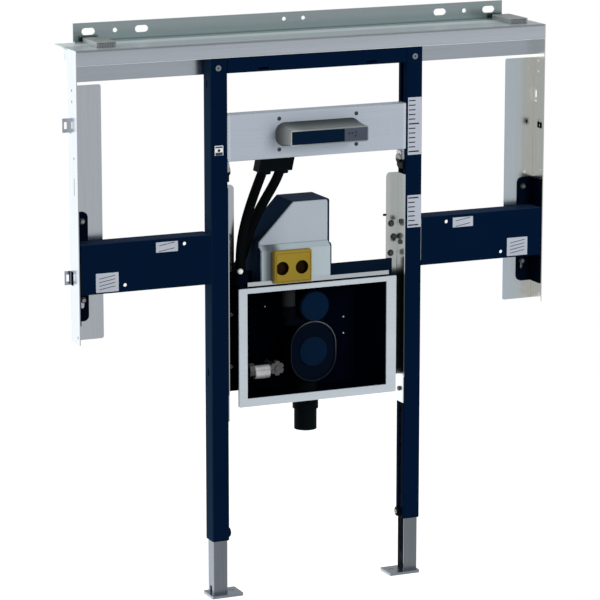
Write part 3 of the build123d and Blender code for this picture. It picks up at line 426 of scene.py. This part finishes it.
def gridPiece(name, grid, finish, body="frame"):
    # quads between neighbouring rows; the last column meets the first, and rows of one point close the ends
    count, rows, columns = grid.shape[:3]
    index = np.arange(count * rows * columns).reshape(count, rows, columns)
    turned = np.roll(index, -1, axis=2)
    quads = np.stack([index[:, :-1], turned[:, :-1], turned[:, 1:], index[:, 1:]], -1).reshape(-1, 4)
    mesh = bpy.data.meshes.new(name)
    mesh.from_pydata(grid.reshape(-1, 3).tolist(), [], quads.tolist())
    work = bmesh.new()
    work.from_mesh(mesh)
    bmesh.ops.remove_doubles(work, verts=work.verts, dist=2e-6)
    bmesh.ops.recalc_face_normals(work, faces=work.faces)
    work.to_mesh(mesh)
    work.free()
    mesh.shade_smooth()
    mesh.set_sharp_from_angle(angle=math.radians(32))
    mesh.materials.append(finishes[finish])
    piece = bpy.data.objects.new(name, mesh)
    bpy.context.scene.collection.objects.link(piece)
    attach(piece, body)
    return piece


def raisePiece(name, centres, look, outline, rows, finish, body="frame", turn=0.0):
    # point = centre + scale(row) * outline(a) on the face + height(row) away from it, all in one array
    along, upward, away = (np.array(v, float) for v in look)
    cosTurn, sinTurn = math.cos(turn), math.sin(turn)
    outline = outline @ np.array([[cosTurn, sinTurn], [-sinTurn, cosTurn]])
    scale, height = np.array(rows, float).T
    flat = outline[:, :1] * along + outline[:, 1:] * upward
    shape = scale[:, None, None] * flat[None] + height[:, None, None] * away
    grid = np.array(centres, float)[:, None, None, :] + shape[None] / 1000
    return gridPiece(name, grid, finish, body)


# rows are (share of the outline, mm above the face); the first and last rows close the piece
panHead = ((0, -0.5), (1.0, -0.5), (1.0, 0.7), (0.88, 1.1), (0.84, 2.3), (0.68, 3.0), (0.42, 3.0), (0.36, 1.3),
           (0, 1.3))
flatHead = ((0, -0.5), (1.0, -0.5), (1.0, 0.6), (0.8, 1.6), (0.4, 1.8), (0.3, 0.9), (0, 0.9))
hexHead = ((0, -0.5), (1.0, -0.5), (1.0, 3.4), (0.9, 4.2), (0.5, 4.3), (0, 4.0))
washerRows = ((0, -0.5), (1.0, -0.5), (1.0, 0.9), (0.94, 1.2), (0, 1.2))
washerTop = np.array([0, -0.0012, 0])
labelRows = ((0, -0.05), (1.0, -0.05), (1.0, 0.18), (0.985, 0.22), (0, 0.22))
inkRows = ((0, 0.1), (1.0, 0.1), (1.0, 0.3), (0, 0.3))
sharpCorners, inkCorners = 60, 20  # powers of a squared ellipse
bothSides = (-1, 1)
fewPoints = 24  # enough for small rings and lines

cornerScrew = {"x": 231.2, "height": 1036.8, "radius": 6.4, "socket": 2.6}
cornerPlaces = [place(side * cornerScrew["x"], 0, cornerScrew["height"]) for side in bothSides]
ringRows = ((0, -0.5), (1, -0.5), (1, 0.9), (0.93, 1.3), (0.6, 1.5), (0.5, 0.8), (0, 0.8))
raisePiece("corner_screws", cornerPlaces, lookFront, circleOutline(cornerScrew["radius"]), ringRows,
           "screw_zinc")
# the dark hex in each corner screw is painted shade in its socket
socketRows = ((0, 0.3), (1, 0.3), (1, 0.9), (0.7, 0.95), (0, 0.85))
raisePiece("corner_screw_sockets", cornerPlaces, lookFront, hexOutline(cornerScrew["socket"]), socketRows,
           "screw_dark")

barScrew = {"x": 91, "heights": (853.4, 920.4), "radius": 4.4}
barPlaces = [place(side * barScrew["x"], 0, h) for side in bothSides for h in barScrew["heights"]]
raisePiece("bar_screws", barPlaces, lookFront, circleOutline(barScrew["radius"]), flatHead, "screw_dark")

bracketScrew = {"x": 525, "depth": 47, "heights": (722, 552), "washer": 6.6, "radius": 4.8, "turn": 0.3}
bracketPlaces = [place(side * bracketScrew["x"], bracketScrew["depth"], h)
                 for side in bothSides for h in bracketScrew["heights"]]
raisePiece("bracket_washers", bracketPlaces, lookFront, circleOutline(bracketScrew["washer"]), washerRows,
           "screw_dark")
raisePiece("bracket_screws", [p + washerTop for p in bracketPlaces], lookFront, hexOutline(bracketScrew["radius"]),
           hexHead, "screw_zinc", turn=bracketScrew["turn"])

railScrew = {"face": ((194, 664), (200, 634), (193, 598)), "depth": 38, "side": ((16, 672), (20, 625), (19, 294)),
             "radius": 5.6, "washer": 7.4, "sideX": 208}
facePlaces = [place(side * x, railScrew["depth"], h) for side in bothSides for x, h in railScrew["face"]]
raisePiece("rail_washers", facePlaces, lookFront, circleOutline(railScrew["washer"]), washerRows,
           "screw_dark")
raisePiece("rail_screws", [p + washerTop for p in facePlaces], lookFront, hexOutline(railScrew["radius"]), hexHead,
           "screw_dark")
for side, look, label in ((1, lookLeft, "right"), (-1, lookRight, "left")):
    raisePiece(label + "_rail_side_screws", [place(side * railScrew["sideX"], d, h) for d, h in railScrew["side"]],
               look, hexOutline(railScrew["radius"]), hexHead, "screw_dark")

railStub = {"x": 182, "depth": 39, "height": 684, "radius": 2.6, "points": 20}
stubRows = ((0, 0), (1, 0), (1, 5.5), (0.75, 7), (0, 7))
raisePiece("rail_stub", [place(railStub["x"], railStub["depth"], railStub["height"])], lookLeft,
           circleOutline(railStub["radius"], railStub["points"]), stubRows, "black_plastic")

flangeBolt = {"x": 189, "depth": 35, "heights": (493, 378), "radius": 4.2}
boltPlaces = [place(side * flangeBolt["x"], flangeBolt["depth"], h)
              for side in bothSides for h in flangeBolt["heights"]]
raisePiece("box_flange_bolts", boltPlaces, lookFront, circleOutline(flangeBolt["radius"]), panHead,
           "screw_zinc")

boxScrew = {"places": ((-84.5, 490.4), (104.9, 450.5), (104.9, 413.6)), "depth": 96, "radius": 1.9}
raisePiece("box_back_screws", [place(x, boxScrew["depth"], h) for x, h in boxScrew["places"]], lookFront,
           circleOutline(boxScrew["radius"], fewPoints), panHead, "knob_white")

# knobs with a wavy rim: r = R (1 + depth cos(k a))
clampKnob = {"x": 210, "depth": 20, "height": 11, "radius": 10.5, "hub": 5, "ridges": 16, "ridge": 0.045, "points": 96}
knobRows = ((0, 0), (0.8, 0), (0.8, 1.5), (1, 2.2), (1, 6.6), (0.9, 7.8), (0.5, 8), (0, 8))
hubRows = ((0, 7.5), (1, 7.5), (1, 9.2), (0.8, 9.8), (0.45, 9.8), (0.42, 8.6), (0, 8.6))
rimAngle = np.linspace(0, 2 * np.pi, clampKnob["points"], endpoint=False)
wave = 1 + clampKnob["ridge"] * np.cos(clampKnob["ridges"] * rimAngle)
knobOutline = circleOutline(clampKnob["radius"], clampKnob["points"]) * wave[:, None]
for side, look, label in ((-1, lookRight, "left"), (1, lookLeft, "right")):
    knobPlace = [place(side * clampKnob["x"], clampKnob["depth"], clampKnob["height"])]
    raisePiece(label + "_clamp_knob", knobPlace, look, knobOutline, knobRows, "black_plastic")
    raisePiece(label + "_clamp_hub", knobPlace, look, hexOutline(clampKnob["hub"]), hubRows, "screw_zinc")

barClip = {"x": 205, "depth": 20, "height": 819.5, "size": (24, 19), "power": 8}
clipRows = ((0, -0.5), (1, -0.5), (1, 1.5), (0.92, 2.2), (0.5, 2.4), (0, 2.4))
for side, look, label in ((-1, lookRight, "left"), (1, lookLeft, "right")):
    raisePiece(label + "_bar_clip", [place(side * barClip["x"], barClip["depth"], barClip["height"])], look,
               plateOutline(*barClip["size"], barClip["power"]), clipRows, "screw_zinc")

socketKnob = {"x": -182, "depth": 9, "height": 594, "radius": 6}
ballRows = ((0, 0), (0.6, 0), (0.6, 3), (0.85, 4), (1, 7), (0.96, 9.5), (0.75, 11.5), (0.4, 12.6), (0, 12.8))
raisePiece("socket_knob", [place(socketKnob["x"], socketKnob["depth"], socketKnob["height"])], lookFront,
           circleOutline(socketKnob["radius"]), ballRows, "knob_white")
print("fasteners made")

# ribbed ends of the wall brackets: front edge y = -A |sin(k x)|, carried up the height of the bracket
hatEnd = {"x": (-471, 500), "depth": 30, "height": 1090, "width": 39, "reach": 10, "ribs": 7, "ripple": 1.6,
          "rise": 9.4, "points": 57}
span = np.linspace(-hatEnd["width"] / 2, hatEnd["width"] / 2, hatEnd["points"])
ripple = -hatEnd["ripple"] * np.abs(np.sin(np.pi * hatEnd["ribs"] * (span / hatEnd["width"] + 0.5)))
rear = np.full(hatEnd["points"], float(hatEnd["reach"]))
ribOutline = np.concatenate([np.stack([span, ripple], 1), np.stack([span[::-1], rear], 1)])
ribRows = ((0, 0.1), (1, 0.1), (1, hatEnd["rise"] - 0.6), (0.985, hatEnd["rise"]), (0, hatEnd["rise"]))
raisePiece("bracket_ribs", [place(x, hatEnd["depth"], hatEnd["height"]) for x in hatEnd["x"]], lookUp,
           ribOutline, ribRows, "screw_zinc")

# rounded bends along the front of the channel, a squared ellipse carried along the sheet; they carry a painted
# highlight along the lower bend and a painted dark line along the upper
bend = {"half": 550, "size": (1.7, 1.5), "drops": (0.3, 31.7), "power": 2.6, "points": 16, "setback": 0.0004}
bendLength = 2 * bend["half"]
bendRows = ((0, 0), (0.8, 0), (1, 0.6), (1, bendLength - 0.6), (0.8, bendLength), (0, bendLength))
bendStarts = [np.array([-bend["half"] / 1000, channelFront + bend["setback"], channelTop - drop / 1000])
              for drop in bend["drops"]]
raisePiece("channel_bends", bendStarts, lookRight, plateOutline(*bend["size"], bend["power"], bend["points"]),
           bendRows, "bend_zinc")

# lips along the lower and right inner edges of the front frame: x, height, width, tallness, and how far it stands out
lip = {"sill": (1.5, 310, 341, 4, 0), "jamb": (166, 424.5, 4, 242, 0.08)}
lipRows = ((0, -3), (1, -3), (1, -0.2), (0.998, 0.05), (0, 0.05))
for key, (x, height, width, tall, proud) in lip.items():
    lipCentre = place(x, 0, height)
    lipCentre[1] = frameFront - proud / 1000
    raisePiece("window_" + key, [lipCentre], lookFront, plateOutline(width, tall, sharpCorners), lipRows,
               "frame_aluminium")

# a pin, a pressed oval and two clips on the right panel
panelMark = {"pin": (529.5, 50.5, 753.5), "pinRadius": 3.4, "oval": (534, 50.5, 867), "ovalSize": (7, 20, 2.2),
             "clips": ((12, 863), (23, 863)), "side": 549, "clipSize": (7, 14, 5)}
raisePiece("panel_pin", [place(*panelMark["pin"])], lookFront, circleOutline(panelMark["pinRadius"], fewPoints),
           panHead, "knob_white")
ovalRows = ((0, -0.3), (1, -0.3), (0.8, 0.3), (0.4, 0.5), (0, 0.5))
raisePiece("panel_oval", [place(*panelMark["oval"])], lookFront, plateOutline(*panelMark["ovalSize"]), ovalRows,
           "leg_zinc")
raisePiece("panel_clips", [place(panelMark["side"], d, h) for d, h in panelMark["clips"]], lookLeft,
           plateOutline(*panelMark["clipSize"]), washerRows, "black_plastic")

# scale labels with plain tick rows: (middle, tallness) of each label, (highest, spacing, count) of its ticks
scaleLabel = {"x": 231.5, "width": 33, "upper": (883.8, 126.5), "lower": (695, 72), "left": 217,
              "upperTicks": (940, 10.2, 12), "lowerTicks": (725, 10.1, 7), "short": (16, 2.4), "long": (25, 3.0)}
for name, key in (("scale_labels", "upper"), ("scale_label_low", "lower")):
    height, tall = scaleLabel[key]
    raisePiece(name, [place(scaleLabel["x"], 0, height)], lookFront,
               plateOutline(scaleLabel["width"], tall, sharpCorners), labelRows, "label_paper")
upperTicks, lowerTicks = (first - spacing * np.arange(count) for first, spacing, count in
                          (scaleLabel["upperTicks"], scaleLabel["lowerTicks"]))
longOnes = [upperTicks[5], upperTicks[11], lowerTicks[0], lowerTicks[6]]
shortOnes = [h for h in (*upperTicks, *lowerTicks) if h not in longOnes]
for key, heights in (("short", shortOnes), ("long", longOnes)):
    length, thick = scaleLabel[key]
    raisePiece(key + "_ticks", [place(scaleLabel["left"] + length / 2, 0, h) for h in heights], lookFront,
               plateOutline(length, thick, inkCorners, fewPoints), inkRows, "label_ink")

# arm labels: x, height, width, tallness and number of lines
armLabel = {"big": (487.5, 596, 51, 41, 4), "small": (351.5, 662, 50, 22, 2),
            "share": 0.72, "spread": 0.28, "line": 1.4, "lean": 0.16}
for key in ("big", "small"):
    x, height, width, tall, lines = armLabel[key]
    raisePiece("arm_labels_" + key, [place(side * x, 0, height) for side in bothSides], lookFront,
               plateOutline(width, tall, sharpCorners), labelRows, "label_paper")
    rises = np.linspace(-armLabel["spread"], armLabel["spread"], lines) * tall
    raisePiece("arm_label_lines_" + key, [place(side * x, 0, height + h) for side in bothSides for h in rises],
               lookFront, plateOutline(width * armLabel["share"], armLabel["line"], inkCorners, fewPoints), inkRows,
               "label_ink", turn=armLabel["lean"])

postLabel = {"x": -230.8, "height": 860.5, "size": (19.5, 21), "dot": 3.2, "strip": (17, 3.6), "rises": (7, -6, -8.5)}
labelPlace = place(postLabel["x"], 0, postLabel["height"])
raisePiece("post_label", [labelPlace], lookFront, plateOutline(*postLabel["size"], sharpCorners), labelRows,
           "knob_white")
raisePiece("post_label_strips", [place(postLabel["x"], 0, postLabel["height"] + h) for h in postLabel["rises"]],
           lookFront, plateOutline(*postLabel["strip"], inkCorners), inkRows, "sensor_grey")
raisePiece("post_label_dot", [labelPlace], lookFront, circleOutline(postLabel["dot"], fewPoints), inkRows,
           "label_ink")
print("labels made")

# sensor marks: small dots on the right end of the tap
sensorMark = {"places": ((45, 889), (52, 889), (60, 891), (60, 883)), "radius": 2.0, "depth": -64}
raisePiece("sensor_marks", [place(x, sensorMark["depth"], h) for x, h in sensorMark["places"]], lookFront,
           circleOutline(sensorMark["radius"], fewPoints), inkRows, "label_ink")

# rim of the drum's cover: two half circles of radius r a distance 2 s apart, with a round bead along them
trapOval = {"height": 397, "depth": 22, "radius": 53.4, "stretch": 13, "points": 160, "bead": 1.0, "beadPoints": 11,
            "disc": 32.4, "discPoints": 64}
ovalAngle = np.linspace(0, 2 * np.pi, trapOval["points"], endpoint=False)
upperHalf = np.sign(np.sin(ovalAngle + 1e-6))  # 1 above the middle and -1 below it, never 0
ovalOutline = np.stack([trapOval["radius"] * np.cos(ovalAngle),
                        trapOval["radius"] * np.sin(ovalAngle) + trapOval["stretch"] * upperHalf], 1)
beadAngle = np.linspace(0, 2 * np.pi, trapOval["beadPoints"])
beadRows = np.stack([1 + trapOval["bead"] / trapOval["radius"] * np.cos(beadAngle),
                     trapOval["bead"] * np.sin(beadAngle)], 1)
trapPlace = [place(0, trapOval["depth"], trapOval["height"])]
# the bead's grey is a painted highlight along the rim
raisePiece("trap_rim_bead", trapPlace, lookFront, ovalOutline, beadRows, "rim_grey")
discRows = ((0, -0.3), (1, -0.3), (1, 0.1), (0.96, 0.4), (0, 0.6))
raisePiece("trap_disc", trapPlace, lookFront, circleOutline(trapOval["disc"], trapOval["discPoints"]), discRows,
           "trap_plastic")

# thin raised border of the yellow guard
guardBorder = {"x": -65.5, "height": 598, "size": (81, 62), "power": 40, "points": 96}
borderRows = ((1, -0.2), (1, 0.35), (0.965, 0.35), (0.965, -0.2), (1, -0.2))
guardCentre = place(guardBorder["x"], 0, guardBorder["height"])
guardCentre[1] = guardFront
raisePiece("guard_border", [guardCentre], lookFront,
           plateOutline(*guardBorder["size"], guardBorder["power"], guardBorder["points"]), borderRows,
           "yellow_edge")

# linings of the two water holes, painted dark brown as shade inside them: a cup turned round the hole's axis
waterHole = {"x": (-91.5, -45.5), "height": 596.5, "depth": -18, "radius": 14.9}
cupRows = ((0, -10.9), (1, -10.9), (1, -0.5), (0.95, -0.5), (0.93, -9.9), (0, -9.9))
raisePiece("water_hole_linings", [place(x, waterHole["depth"], waterHole["height"]) for x in waterHole["x"]], lookFront,
           circleOutline(waterHole["radius"]), cupRows, "hole_brown")

# supply tubes: the centre line is a sum of points weighted by Bernstein polynomials,
# c(t) = sum C(n, i) t^i (1 - t)^(n - i) p_i, and a circle stands square to it; the points are (x, depth, height)
supplyTube = {
    "radius": 10.5, "ring": 32, "steps": 61, "degree": 4,
    "front": ((-121.5, 19, 806), (-144.8, 19, 750.5), (-168.5, 19, 695), (-180.1, 19, 639.5), (-172, 19, 584)),
    "back": ((-81, 19, 806), (-101.7, 14.7, 750.5), (-157.9, 44.6, 695), (-140.3, 38.5, 639.5), (-164, 70, 584)),
}
step = np.linspace(0, 1, supplyTube["steps"])[:, None]
degree = supplyTube["degree"]
weights = np.concatenate([math.comb(degree, i) * step ** i * (1 - step) ** (degree - i) for i in range(degree + 1)], 1)
tubeRing = circleOutline(supplyTube["radius"], supplyTube["ring"])
for key in ("front", "back"):
    centre = weights @ np.array(supplyTube[key], float)
    ahead = np.gradient(centre, axis=0)
    ahead /= np.linalg.norm(ahead, axis=1)[:, None]
    across = np.cross(ahead, (0, 1, 0))
    across /= np.linalg.norm(across, axis=1)[:, None]
    inward = np.cross(across, ahead)
    rings = centre[:, None] + tubeRing[None, :, :1] * across[:, None] + tubeRing[None, :, 1:] * inward[:, None]
    ends = [np.repeat(centre[i][None, None], len(tubeRing), 1) for i in (0, -1)]
    grid = np.concatenate([ends[0], rings, ends[1]], 0)[None] / 1000 + place(0, 0, 0)
    tube = gridPiece(key + "_tube_run", grid, "tube_rubber")
    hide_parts(key + "_supply_tube")
print("trap and tap details made")

# the floor lies as low as the legs reach
floorSheet = {"half": 1.7, "front": -0.24, "back": 1.9, "drop": 0.0725, "glow": 0.62}
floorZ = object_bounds()[0][2] - floorSheet["drop"]
half, front, back = floorSheet["half"], floorSheet["front"], floorSheet["back"]
floorCorners = [(-half, front, floorZ), (half, front, floorZ), (half, back, floorZ), (-half, back, floorZ)]
floorMesh = bpy.data.meshes.new("floor")
floorMesh.from_pydata(floorCorners, [], [(0, 1, 2, 3)])
floor = bpy.data.objects.new("floor", floorMesh)
bpy.context.scene.collection.objects.link(floor)
floorPaint = makeFinish("floorPaint", mouldGrain, (0.9, 0.9, 0.9), (0.93, 0.93, 0.93), (0.7, 0.8), bump=0.01,
                        Emission_Color=white, Emission_Strength=floorSheet["glow"])
floorMesh.materials.append(floorPaint)

# a white surround for the camera; for the light it is grey, bright only behind the object on its left,
# and dimmer overhead
surround = {"grey": 0.47, "bright": 0.82, "sideways": (0.1, -0.4), "backwards": (-0.2, 0.6), "overhead": (0.3, 0.8),
            "top": 0.75}
world = bpy.data.worlds.new("studio")
bpy.context.scene.world = world
world.use_nodes = True
sky = world.node_tree
sky.nodes.clear()
direction = sky.nodes.new("ShaderNodeTexCoord")
split = addNode(sky, "ShaderNodeSeparateXYZ", [(direction.outputs["Generated"], "Vector")])


def skyRange(source, span, low=0.0, high=1.0):
    # span[0] becomes low and span[1] becomes high
    node = addNode(sky, "ShaderNodeMapRange", [(source, "Value")], From_Min=span[0], From_Max=span[1],
                   To_Min=low, To_Max=high)
    return node.outputs["Result"]


def skyProduct(first, second):
    return addNode(sky, "ShaderNodeMath", [(first, 0), (second, 1)], operation="MULTIPLY").outputs[0]


corner = skyProduct(skyRange(split.outputs["X"], surround["sideways"]),
                    skyRange(split.outputs["Y"], surround["backwards"]))
glow = skyRange(corner, (0.0, 1.0), surround["grey"], surround["grey"] + surround["bright"])
overhead = skyRange(split.outputs["Z"], surround["overhead"], 1.0, surround["top"])
ambient = addNode(sky, "ShaderNodeBackground", [(skyProduct(glow, overhead), "Strength")], Color=white)
plainWhite = addNode(sky, "ShaderNodeBackground", Color=white, Strength=1.0)
path = sky.nodes.new("ShaderNodeLightPath")
mixed = addNode(sky, "ShaderNodeMixShader", [(path.outputs["Is Camera Ray"], 0), (ambient.outputs[0], 1),
                                             (plainWhite.outputs[0], 2)])
addNode(sky, "ShaderNodeOutputWorld", [(mixed.outputs[0], "Surface")])

softbox = {"spot": (1.7, -4.4, 0.9), "target": (0, 0, -0.6), "size": 1.6, "watts": 125}
lampData = bpy.data.lights.new("keySoftbox", "AREA")
lampData.shape = "SQUARE"
lampData.size = softbox["size"]
lampData.energy = softbox["watts"]
lamp = bpy.data.objects.new("keySoftbox", lampData)
lamp.location = softbox["spot"]
lamp.rotation_euler = (Vector(softbox["target"]) - Vector(softbox["spot"])).to_track_quat("-Z", "Y").to_euler()
lamp.visible_glossy = False  # the sheets mirror the surround alone
bpy.context.scene.collection.objects.link(lamp)

view = {"spot": (-2.852, -6.4397, 0.8836), "tilt": 90 - 12.07, "turn": -24.01, "lens": 195.26, "sensor": 36}
cameraData = bpy.data.cameras.new("camera")
cameraData.sensor_width = view["sensor"]
cameraData.lens = view["lens"]
camera = bpy.data.objects.new("camera", cameraData)
camera.location = view["spot"]
camera.rotation_euler = (math.radians(view["tilt"]), 0, math.radians(view["turn"]))
bpy.context.scene.collection.objects.link(camera)
bpy.context.scene.camera = camera
bpy.context.scene.view_settings.view_transform = "Standard"
print("stage, lights and camera set")
